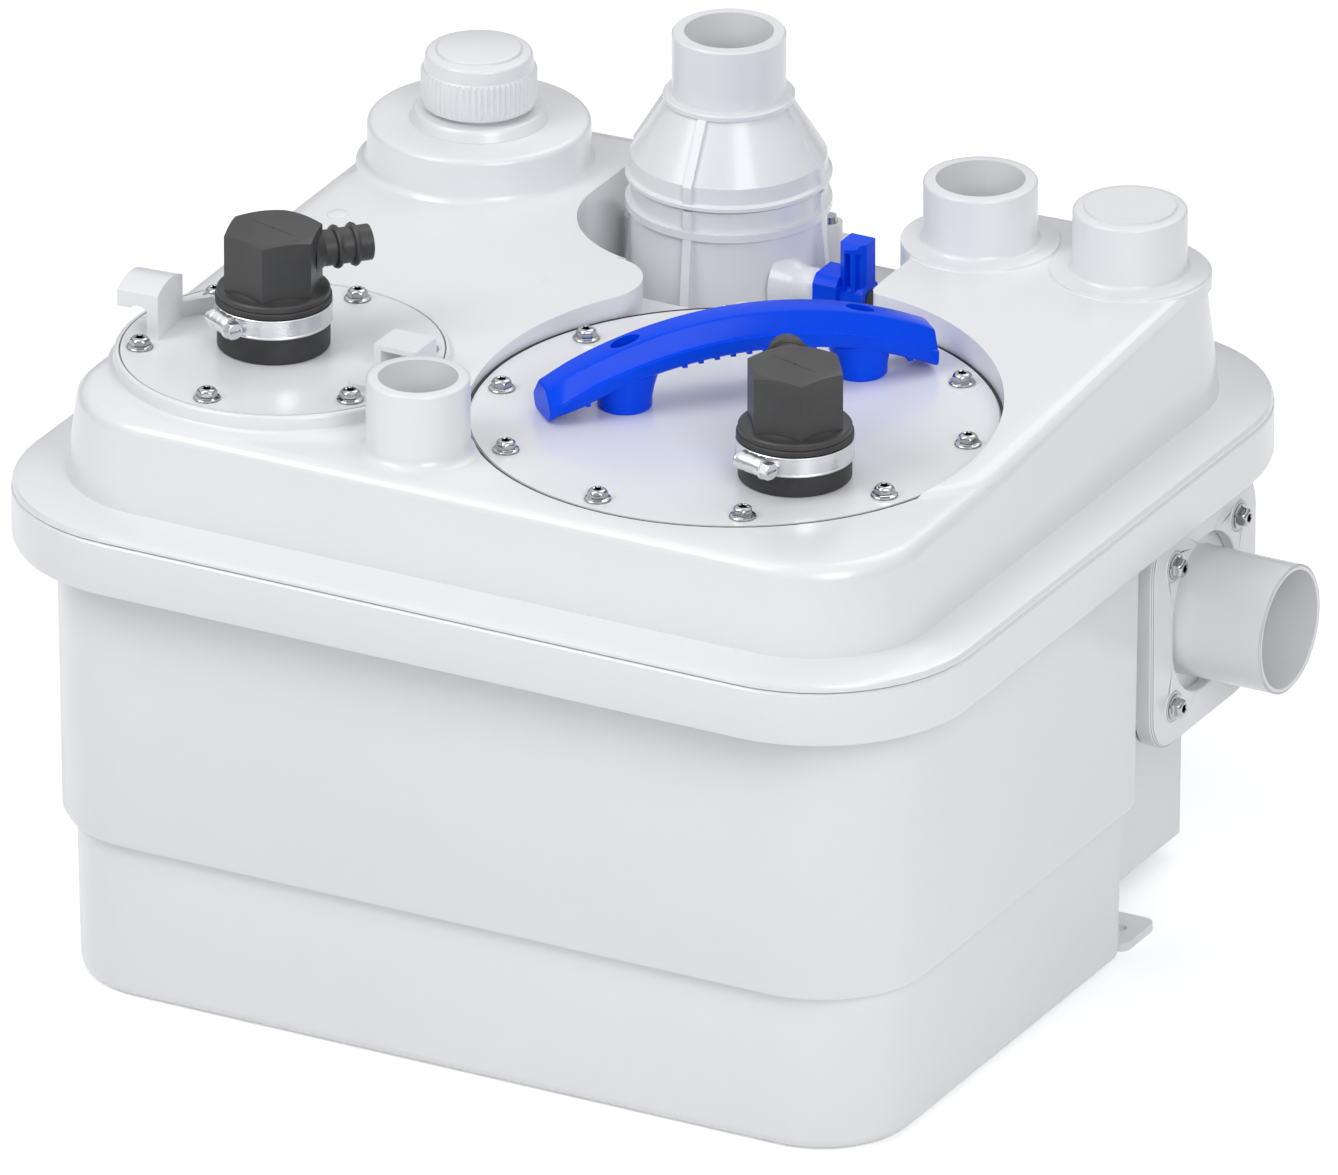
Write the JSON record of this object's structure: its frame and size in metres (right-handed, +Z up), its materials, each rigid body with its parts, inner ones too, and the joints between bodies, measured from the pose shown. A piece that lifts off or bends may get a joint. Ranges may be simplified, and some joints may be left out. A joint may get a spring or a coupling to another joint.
{
  "type": "macerator toilet pump",
  "caption": "White moulded lifting station with a cutting pump: domed lid with access plates, top and side inlets, vent and a discharge valve with a blue drain lever.",
  "frame": {"origin": "on the floor under the middle of the tank", "axes": "+Z up, +X along the long side towards the side inlet, -Y is the long front"},
  "size_m": [0.4867, 0.416, 0.3685],
  "materials": {
    "white_plastic": "glossy cool white moulding",
    "black_plastic": "satin black",
    "blue_plastic": "satin royal blue",
    "steel": "stainless",
    "chrome": "polished",
    "black_rubber": "matte",
    "winding": "varnished winding and laminations"
  },
  "bodies": {
    "housing": {"tank": "white_plastic", "lid_gasket": "black_rubber", "lid": "white_plastic", "motor_plate": "white_plastic", "motor_plate_gasket": "black_rubber", "motor_plate_screws": "chrome", "carry_handle": "blue_plastic", "handle_screws": "chrome", "sensor_plate": "white_plastic", "sensor_plate_gasket": "black_rubber", "sensor_plate_screws": "chrome", "short_dip_tube": "white_plastic", "long_dip_tube": "white_plastic", "short_boot": "black_rubber", "long_boot": "black_rubber", "short_clamp": "steel", "long_clamp": "steel", "short_cap": "black_plastic", "long_cap": "black_plastic", "vent_neck": "white_plastic", "vent_seal": "black_rubber", "valve_body": "white_plastic", "valve_seal": "black_rubber", "valve_top": "white_plastic", "valve_screws": "chrome", "inlet_gasket": "black_rubber", "inlet_flange": "white_plastic", "inlet_bolts": "chrome", "motor_housing": "steel", "stator": "winding", "upper_bearing": "steel", "lower_bearing": "steel", "bearing_shield": "white_plastic", "shaft_seal": "black_rubber", "pump_volute": "white_plastic", "suction_plate": "steel", "riser_sleeve": "black_rubber", "riser_pipe": "white_plastic"},
    "rotating_group": {"rotor": "steel", "impeller": "black_plastic", "cutter": "steel"},
    "flap_group": {"flap": "black_rubber", "drain_lever": "blue_plastic"},
    "cap": {"vent_cap": "white_plastic"},
    "sliding_inlet": {"inlet_pipe": "white_plastic"}
  },
  "joints": [
    {"name": "rotor_spin", "type": "hinge", "parent": "housing", "child": "rotating_group", "pos_m": [0.06, -0.022, 0.15], "axis": [0, 0, 1], "continuous": true},
    {"name": "valve_lever", "type": "hinge", "parent": "housing", "child": "flap_group", "pos_m": [-0.03, 0.118, 0.2627], "axis": [1, 0, 0], "range_deg": [0, 60]},
    {"name": "vent_cap_turn", "type": "hinge", "parent": "housing", "child": "cap", "pos_m": [-0.147, 0.12, 0.32], "axis": [0, 0, 1], "continuous": true},
    {"name": "inlet_slide", "type": "slide", "parent": "housing", "child": "sliding_inlet", "axis": [0, 0, 1], "range_m": [-0.005, 0.005]}
  ]
}
